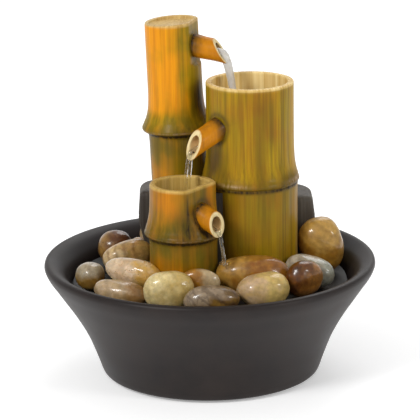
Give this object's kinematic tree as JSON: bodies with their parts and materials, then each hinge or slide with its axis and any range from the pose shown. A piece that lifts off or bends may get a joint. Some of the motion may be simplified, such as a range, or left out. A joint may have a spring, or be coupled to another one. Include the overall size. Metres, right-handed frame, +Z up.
{
  "type": "tabletop water fountain",
  "caption": "Tabletop water fountain: bamboo canes spill water into one another and onto river stones in a flared round bowl, driven by a hidden pump under a lift-off tower.",
  "frame": {"origin": "middle of the footprint, on the surface that the foot pads stand on", "axes": "+Z up; -Y is the front, the side of the short cane; +X is the side of the wide cane"},
  "size_m": [0.2106, 0.2106, 0.2238],
  "materials": {
    "bowl_resin": "dark brown cast resin, satin",
    "housing_resin": "dark slate cast resin, matt",
    "bamboo_amber": "cast resin painted as amber bamboo, satin gloss",
    "bamboo_olive": "cast resin painted as olive bamboo, satin gloss",
    "river_stone": "polished river stone",
    "pump_plastic": "black moulded plastic",
    "tray_plastic": "black moulded plastic, matt",
    "rubber": "black rubber",
    "potting": "cast epoxy seal",
    "clear_vinyl": "clear vinyl hose",
    "copper": "enamelled copper winding",
    "core_steel": "laminated steel",
    "ferrite": "sintered ferrite",
    "shaft_ceramic": "white ceramic"
  },
  "bodies": {
    "bowl": {"bowl": "bowl_resin", "stone_tray": "tray_plastic", "cord_grommet": "rubber", "foot_pad_1": "rubber", "foot_pad_2": "rubber", "foot_pad_3": "rubber", "foot_pad_4": "rubber", "pump_body": "pump_plastic", "stator_core": "core_steel", "stator_coil": "copper", "potting_cap": "potting", "pump_cord_gland": "rubber", "impeller_shaft": "shaft_ceramic", "shaft_bush_rear": "rubber", "shaft_bush_front": "rubber", "volute_cover": "pump_plastic", "outlet_barb": "pump_plastic", "suction_cup_1": "rubber", "suction_cup_2": "rubber", "suction_cup_3": "rubber", "suction_cup_4": "rubber", "stone_01": "river_stone", "stone_02": "river_stone", "stone_03": "river_stone", "stone_04": "river_stone", "stone_05": "river_stone", "stone_06": "river_stone", "stone_07": "river_stone", "stone_08": "river_stone", "stone_09": "river_stone", "stone_10": "river_stone", "stone_11": "river_stone", "stone_12": "river_stone", "stone_13": "river_stone", "stone_14": "river_stone", "stone_15": "river_stone", "stone_16": "river_stone", "stone_17": "river_stone", "stone_18": "river_stone", "stone_19": "river_stone", "stone_20": "river_stone", "stone_21": "river_stone", "stone_22": "river_stone", "stone_23": "river_stone"},
    "tower": {"cane_wide": "bamboo_olive", "cane_tall": "bamboo_amber", "cane_short": "bamboo_amber", "spout_tall": "bamboo_amber", "spout_wide": "bamboo_amber", "spout_short": "bamboo_amber", "pump_housing": "housing_resin", "riser_tube": "clear_vinyl"},
    "rear_cover": {"rear_cover": "housing_resin"},
    "rotor": {"rotor_magnet": "ferrite", "impeller": "pump_plastic"},
    "intake_cover": {"intake_cover": "pump_plastic"},
    "flow_dial": {"flow_dial": "pump_plastic"}
  },
  "joints": [
    {"name": "tower_lift", "type": "slide", "parent": "bowl", "child": "tower", "axis": [0, 0, 1], "range_m": [0, 0.1]},
    {"name": "rear_cover_slide", "type": "slide", "parent": "tower", "child": "rear_cover", "axis": [0, 0, 1], "range_m": [0, 0.042]},
    {"name": "rotor_spin", "type": "hinge", "parent": "bowl", "child": "rotor", "pos_m": [0.02, 0.037, 0.026], "axis": [0, 1, 0], "continuous": true},
    {"name": "intake_cover_pull", "type": "slide", "parent": "bowl", "child": "intake_cover", "axis": [0, 1, 0], "range_m": [0, 0.003]},
    {"name": "flow_dial_turn", "type": "hinge", "parent": "intake_cover", "child": "flow_dial", "pos_m": [0.02, 0.049, 0.0205], "axis": [0, 1, 0], "range_deg": [-60, 60]}
  ]
}
